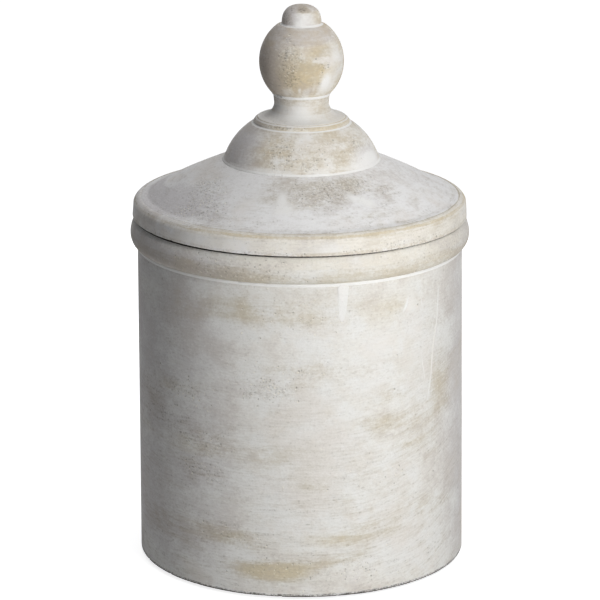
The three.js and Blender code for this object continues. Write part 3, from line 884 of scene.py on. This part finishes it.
def whitewashed_clay(name, colours, cloud, speckle, blotch, seed):
    """Buff earthenware under a thin lime wash, brushed on while the pot turned, and rubbed back when dry.

    To the eye it is dead matt and chalky: soft clouds of off-white, as wide as the cloud is in millimetres,
    with level brush marks where the brush combed them, warm clay where they are rubbed thin, fine specks,
    pits with pale crumbs round them in places, and thicker, whiter wash in the corners.
    """
    material, tree, shader, place = new_material(name)
    wash, thin, clay, ochre = (linear(c) for c in colours)
    solid = add(tree, "ShaderNodeVectorMath", {0: place, "Scale": 1 / MM}, operation="SCALE")[0]
    kept = {
        key: add(tree, "ShaderNodeAttribute", attribute_name=key)["Fac"]
        for key in ("bare", "pool", "grey", "residue", "ochre", "pitted", "stroke", "combing")
    }
    pattern = brush_patterns(tree, solid, kept, cloud, blotch, seed)
    part = pits_and_crumbs(tree, solid, kept["pitted"])
    part.update(wash_masks(tree, kept, pattern, speckle, blotch))

    # Colours laid over each other from the wash up, each by a share of its mask
    clay = add(tree, "ShaderNodeMix", {0: part["ochre"], 6: clay, 7: ochre}, data_type="RGBA")[2]
    colour = wash
    for key, share, over in [
        ("warm", 0.40, linear("#dfd5ca")),
        ("ochre", 0.50, linear("#e9dfc8")),
        ("thin", 0.50, thin),
        ("rubbed", 0.85, clay),
        # bluish grey: smoke-grey wash, and painted shade on the flanks and sides that the lamps leave dark
        ("cool", 0.42, linear("#bdb6b9")),
        ("combed", 0.12, linear("#a39b8d")),
        ("grainy", 0.08 * speckle, linear("#9c9487")),
        ("flecked", 0.12 * speckle, linear("#978e80")),
        ("paler", 0.30 * speckle, linear("#f4f3f0")),
        ("crumb", 0.85, linear("#f8f3e6")),
        ("pit", 0.62, linear("#7e766b")),
        ("pooled", 0.92, linear("#f7f6f3")),
        # near-black: dark dirt, and painted shade in the joint under the lid, along the foot and on the
        # finial's left
        ("residue", 0.95, linear("#2b2722")),
    ]:
        amount = add(tree, "ShaderNodeMath", {0: part[key], 1: share}, operation="MULTIPLY")[0]
        colour = add(tree, "ShaderNodeMix", {0: amount, 6: colour, 7: over}, data_type="RGBA")[2]

    # Relief in millimetres
    raised = [(pattern["bristle"], 0.10), (pattern["grain"], 0.16), (pattern["mottle"], 0.4)]
    raised += [(part["pit"], -0.22), (part["crumb"], 0.18), (part["rubbed"], -0.06), (part["pooled"], 0.06)]
    height = weighted_sum(tree, 0.0, raised)
    bump = add(tree, "ShaderNodeBump", {"Height": height, "Distance": MM, "Strength": 1.0})[0]
    rough = add(tree, "ShaderNodeMapRange", {"Value": part["rubbed"], "To Min": 0.86, "To Max": 0.95})[0]
    feed(tree, shader, {"Base Color": colour, "Normal": bump, "Roughness": rough, "Specular IOR Level": 0.3})
    return material


def milky_silicone():
    """Moulded food-grade silicone: milky, satin and faintly see-through at its thin fins."""
    material, tree, shader, place = new_material("moulded_silicone")
    # dust and handling marks, 3 mm across
    dust = add(tree, "ShaderNodeTexNoise", {"Vector": place, "Scale": 1 / (3 * MM), "Detail": 3.0})[0]
    colours = {0: dust, 6: linear("#d9d7cf"), 7: linear("#e3e1da")}
    mixed = add(tree, "ShaderNodeMix", colours, data_type="RGBA")[2]
    rough = add(tree, "ShaderNodeMapRange", {"Value": dust, "To Min": 0.38, "To Max": 0.52})[0]
    feed(tree, shader, {"Base Color": mixed, "Roughness": rough, "IOR": 1.41})
    feed(tree, shader, {"Subsurface Weight": 0.15, "Subsurface Scale": 1.5 * MM})
    return material


def sponge_rubber():
    """Closed-cell sponge rubber: dark, matt, with fine open pores on its cut faces."""
    material, tree, shader, place = new_material("sponge_rubber")
    # the real pores are near 0.2 mm and are drawn at 0.5 mm, so that they show
    cells = add(tree, "ShaderNodeTexVoronoi", {"Vector": place, "Scale": 1 / (0.5 * MM)})
    edge = {"Value": cells["Distance"], "From Min": 0.15, "From Max": 0.45}
    pore = add(tree, "ShaderNodeMapRange", edge, interpolation_type=SOFT)[0]
    colours = {0: pore, 6: linear("#2c2824"), 7: linear("#4b443d")}
    mixed = add(tree, "ShaderNodeMix", colours, data_type="RGBA")[2]
    bump = add(tree, "ShaderNodeBump", {"Height": pore, "Distance": 0.08 * MM, "Strength": 1.0})[0]
    feed(tree, shader, {"Base Color": mixed, "Normal": bump, "Roughness": 0.85})
    return material


# Sound wash, thin wash, clay and ochre clay of each piece, then cloud width in mm, speckle, blotch and seed
BODY_COLOURS = ("#ebeae6", "#d6d1c5", "#cac0aa", "#d6c8a6")
LID_COLOURS = ("#f4f3f2", "#d6d1c7", "#c3baa8", "#dccdac")
FINIAL_COLOURS = ("#f0eeea", "#dcd5c6", "#bfb197", "#d6c39a")
BODY_CLAY = whitewashed_clay("whitewashed_body_clay", BODY_COLOURS, 16.0, 0.85, 0.10, 1)
LID_CLAY = whitewashed_clay("whitewashed_lid_clay", LID_COLOURS, 13.0, 1.0, 0.3, 2)
FINIAL_CLAY = whitewashed_clay("whitewashed_finial_clay", FINIAL_COLOURS, 7.0, 0.5, 0.40, 3)
SILICONE = milky_silicone()
RUBBER = sponge_rubber()


def make_pieces():
    """The turned pieces: name, body, node and slot, then shape and unevenness, material and treatment."""
    for seed, (name, body, node, slot, shape, hand, material, marks, move) in enumerate([
        (
            "whitewashed_vessel", "vessel", "canister_body", "body_clay",
            (vessel_outline(), False, BODY_STEPS), (0.3, 60), BODY_CLAY, WALL_MARKS, chipped_foot,
        ),
        (
            "whitewashed_lid", "cover", "lid", "lid_clay",
            (lid_outline(), True, LID_STEPS), (0.3, 50), LID_CLAY, LID_MARKS, chipped_band,
        ),
        (
            "whitewashed_finial", "cover", "finial", "finial_clay",
            (finial_outline(), False, FINIAL_STEPS), (0.25, 25), FINIAL_CLAY, FINIAL_MARKS, unchanged,
        ),
        (
            "silicone_seal", "seal", "seal_ring", "seal_silicone",
            (seal_outline(), True, SEAL_STEPS), (0.0, 25), SILICONE, NO_MARKS, unchanged,
        ),
    ]):
        (outline, finish), closed, steps = shape
        piece = turned(name, outline, closed, steps, *hand, seed + 1.0, material)
        treated(piece, outline, finish, marks)
        reshaped(piece, move)
        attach(piece, body)
        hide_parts(node)


make_pieces()


def make_pads():
    """The stick-on pads, each turned on its own axis and set on its circle under the foot."""
    outline = pad_outline()[0]
    for i in range(PAD_COUNT):
        angle = (i + 0.5) * 2 * math.pi / PAD_COUNT
        pad = turned(f"rubber_pad_{i + 1}", outline, False, PAD_STEPS, 0.0, 10, 8.0, RUBBER)
        points = points_of(pad)
        points += (PAD_CIRCLE_RADIUS * math.cos(angle), PAD_CIRCLE_RADIUS * math.sin(angle), 0)
        put_back(pad, points)
        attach(pad, "vessel")
        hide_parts(f"base_pad_{i + 1}")


make_pads()


def run_tree():
    """Lays a low, rounded run of wash along a path, whose points say its half width and the way out."""
    inputs = {"Path": "Geometry", "Depth ratio": "Float", "Material": "Material"}
    tree, given = new_tree("run_of_wash", inputs, "Run")
    read = "GeometryNodeInputNamedAttribute"
    half_width = add(tree, read, {"Name": "half_width"}, data_type="FLOAT")[0]
    outward = add(tree, read, {"Name": "outward"}, data_type="FLOAT_VECTOR")[0]
    path = add(tree, "GeometryNodeMeshToCurve", {"Mesh": given["Path"]})[0]
    facing = {"Curve": path, "Normal": outward}
    upright = add(tree, "GeometryNodeSetCurveNormal", facing, mode="FREE")[0]
    sized = add(tree, "GeometryNodeSetCurveRadius", {"Curve": upright, "Radius": half_width})[0]
    ring = add(tree, "GeometryNodeCurvePrimitiveCircle", {"Resolution": RUN_SIDES, "Radius": 1.0})[0]
    flat = add(tree, "ShaderNodeCombineXYZ", {0: given["Depth ratio"], 1: 1.0, 2: 1.0})[0]
    lens = add(tree, "GeometryNodeTransform", {"Geometry": ring, "Scale": flat})[0]
    body = {"Curve": sized, "Profile Curve": lens, "Fill Caps": True, "Scale": half_width}
    drawn = add(tree, "GeometryNodeCurveToMesh", body)[0]
    coat_and_end(tree, drawn, given, "Run")
    return tree


# Runs that the wash left on the wall: depth to half width and whiteness, then azimuth, height and half width
WASH_RUNS = [
    (0.34, 0.1, [
        (56.6, 158.8, 0.3), (56.3, 154, 0.5), (55.7, 142, 0.55), (54.2, 133.6, 0.75), (52.7, 122.5, 0.65),
        (51.8, 112, 0.75), (50.6, 104.5, 0.6), (49.8, 99.5, 0.4),
    ]),
    (0.40, 0.2, [
        (40.5, 159, 0.3), (39.8, 156, 0.7), (39.1, 153.4, 1.1), (38.3, 151.6, 0.9), (37.6, 150.2, 0.3),
    ]),
    (0.50, 0.2, [(46.6, 156.6, 0.25), (46.7, 153.5, 0.55), (46.5, 150.6, 0.3)]),
    (0.50, 0.2, [
        (46.2, 129, 0.25), (46.6, 125, 0.45), (47.1, 121, 0.55), (47.9, 115, 0.45), (48.5, 110, 0.25),
    ]),
    (0.05, 0.26, [
        (14.9, 170.2, 3.4), (14.8, 165, 2.9), (14.5, 157, 2.5), (14.3, 150, 1.9), (14.1, 146, 1.0),
    ]),
    (0.40, 0.2, [(118.0, 160, 0.4), (118.6, 150, 0.6), (119.2, 141, 0.8), (119.3, 137.5, 0.4)]),
    (0.40, 0.2, [(-134.0, 168, 0.5), (-134.4, 158, 0.6), (-135.2, 143, 0.9), (-135.3, 139, 0.4)]),
]
# Their make: sides, points averaged along the course, and in millimetres how far apart the points are, how
# deep the run is sunk into the wall, how long it tapers at both ends and how far past them it would close
RUN_SIDES = 14
RUN_EASED_OVER = 5
RUN_SPACING = 0.8
RUN_SUNK = 0.06
RUN_TAPER = 2.0
RUN_TIP = 0.15


def wall_radius(z):
    return np.interp(z, [FOOT_Z + 2, BEAD_FOOT_Z], [FOOT_RADIUS, WALL_TOP_RADIUS])


def eased(values):
    """Values along a course, each averaged with its neighbours."""
    padded = np.pad(values, RUN_EASED_OVER // 2, mode="edge")
    return np.convolve(padded, np.ones(RUN_EASED_OVER) / RUN_EASED_OVER, mode="valid")


def make_runs():
    """The raised runs on the wall, sunk a little into it, each on its own path."""
    tree = run_tree()
    for i, (ratio, white, course) in enumerate(WASH_RUNS):
        angles, levels, halves = np.array(course, float).T[:, ::-1]
        level = np.arange(levels[0], levels[-1], RUN_SPACING)
        turn = np.radians(eased(np.interp(level, levels, angles)))
        from_end = np.minimum(level - level[0] + RUN_TIP, level[-1] + RUN_TIP - level)
        half = eased(np.interp(level, levels, halves)) * np.sqrt(np.clip(from_end / RUN_TAPER, 0.02, 1))
        outward = np.stack([np.sin(turn), -np.cos(turn), 0 * turn], axis=1)
        points = outward * (wall_radius(level) - RUN_SUNK)[:, None]
        points[:, 2] = level
        mesh = bpy.data.meshes.new(f"run_path_{i + 1}")
        mesh.from_pydata(points * MM, [(k, k + 1) for k in range(len(points) - 1)], [])
        keep(mesh, half_width=half * MM)
        normals = mesh.attributes.new("outward", "FLOAT_VECTOR", "POINT")
        normals.data.foreach_set("vector", outward.astype(np.float32).ravel())
        run = grown(f"wash_run_{i + 1}", mesh, tree, {"Depth ratio": ratio, "Material": BODY_CLAY})
        reshaped(run, unchanged)

        # Whiter the further it stands off the wall
        laid_at = points_of(run)
        laid_at[:, 0] -= lean_at(laid_at[:, 2])
        height = laid_at[:, 2]
        proud = np.hypot(laid_at[:, 0], laid_at[:, 1]) - wall_radius(height)
        proud = proud / (ratio * np.interp(height, level, half) + 0.02)
        keep(run.data, pool=white + 0.4 * np.clip(proud, 0, 1), stroke=height, combing=0 * height + 0.4)
        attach(run, "vessel")


make_runs()


def seen_directly(tree):
    """One for what the camera sees, straight or in a reflection, and nought for the light on a surface."""
    rays = add(tree, "ShaderNodeLightPath")
    seen = rays["Is Camera Ray"]
    for kind in ("Is Glossy Ray", "Is Transmission Ray"):
        seen = add(tree, "ShaderNodeMath", {0: seen, 1: rays[kind]}, operation="MAXIMUM")[0]
    return seen


def emptied(owner):
    """The node tree of a material or a world, with nothing in it."""
    owner.use_nodes = True
    owner.node_tree.nodes.clear()
    return owner.node_tree


def floor_material():
    """A pale studio floor: plain diffuse, which the camera sees fading to white away from the object."""
    material = bpy.data.materials.new("studio_floor")
    tree = emptied(material)
    diffuse = add(tree, "ShaderNodeBsdfDiffuse", {"Color": linear("#e6e6e6")})[0]
    place = add(tree, "ShaderNodeTexCoord")["Object"]
    distance = add(tree, "ShaderNodeVectorMath", {0: place}, operation="LENGTH")["Value"]
    fade = {"Value": distance, "From Min": 0.12, "From Max": 0.5, "To Min": 0.82, "To Max": 1.0}
    strength = add(tree, "ShaderNodeMapRange", fade, interpolation_type=SOFT)[0]
    glow = add(tree, "ShaderNodeEmission", {"Color": (1, 1, 1, 1), "Strength": strength})[0]
    both = add(tree, "ShaderNodeAddShader", {0: diffuse, 1: glow})[0]
    mix = add(tree, "ShaderNodeMixShader", {0: seen_directly(tree), 1: diffuse, 2: both})[0]
    add(tree, "ShaderNodeOutputMaterial", {"Surface": mix})
    return material


def make_floor():
    """A wide square under the canister, in metres."""
    reach = 6.0
    corners = [(-reach, -reach, 0), (reach, -reach, 0), (reach, reach, 0), (-reach, reach, 0)]
    mesh = bpy.data.meshes.new("floor")
    mesh.from_pydata(corners, [], [(0, 1, 2, 3)])
    mesh.materials.append(floor_material())
    linked("floor", mesh)


make_floor()


def make_world():
    """White for the camera and in reflections, and a low, slightly cool fill on the object."""
    world = bpy.data.worlds.new("studio")
    tree = emptied(world)
    shown = add(tree, "ShaderNodeBackground", {"Color": (1, 1, 1, 1), "Strength": 1.0})[0]
    fill = add(tree, "ShaderNodeBackground", {"Color": linear("#f3f6ff"), "Strength": 0.093})[0]
    mix = add(tree, "ShaderNodeMixShader", {0: seen_directly(tree), 1: fill, 2: shown})[0]
    add(tree, "ShaderNodeOutputWorld", {"Surface": mix})
    bpy.context.scene.world = world


make_world()

# Upright soft boxes round the object: azimuth, distance, width, foot, top and watts, with lengths in metres
LAMPS = [
    ("key_softbox", 29.0, 0.60, 0.24, 0.02, 0.75, 3.14),
    ("rim_softbox", 145.0, 0.45, 0.10, 0.02, 0.90, 0.95),
    ("back_softbox", -168.0, 0.70, 0.40, 0.05, 0.50, 1.0),
]
TOP_LAMP_SIDE = 0.5
TOP_LAMP_PLACE = (0.0, -0.1, 0.9)
TOP_LAMP_WATTS = 1.42


def add_lamp(name, width, height, watts, place, turn):
    """A soft box that the camera doesn't see."""
    light = bpy.data.lights.new(name, "AREA")
    light.shape = "RECTANGLE"
    light.size = width
    light.size_y = height
    light.energy = watts
    lamp = linked(name, light)
    lamp.location = place
    lamp.rotation_euler = turn
    lamp.visible_camera = False


def make_lamps():
    for name, azimuth, distance, width, foot, top, watts in LAMPS:
        angle = math.radians(azimuth)
        place = (distance * math.sin(angle), -distance * math.cos(angle), (foot + top) / 2)
        add_lamp(name, width, top - foot, watts, place, (math.pi / 2, 0, angle))
    add_lamp("top_softbox", TOP_LAMP_SIDE, TOP_LAMP_SIDE, TOP_LAMP_WATTS, TOP_LAMP_PLACE, (0, 0, 0))


make_lamps()

CAMERA_PLACE = (0, -1.7794, 0.6433)
CAMERA_PITCH = 15.855
CAMERA_LENS = 208.1


def make_camera():
    data = bpy.data.cameras.new("camera")
    data.sensor_width = 36
    data.lens = CAMERA_LENS
    data.clip_start = 0.05
    data.clip_end = 30
    camera = linked("camera", data)
    camera.location = CAMERA_PLACE
    camera.rotation_euler = (math.radians(90 - CAMERA_PITCH), 0, 0)
    bpy.context.scene.camera = camera


make_camera()
bpy.context.scene.view_settings.view_transform = "Standard"
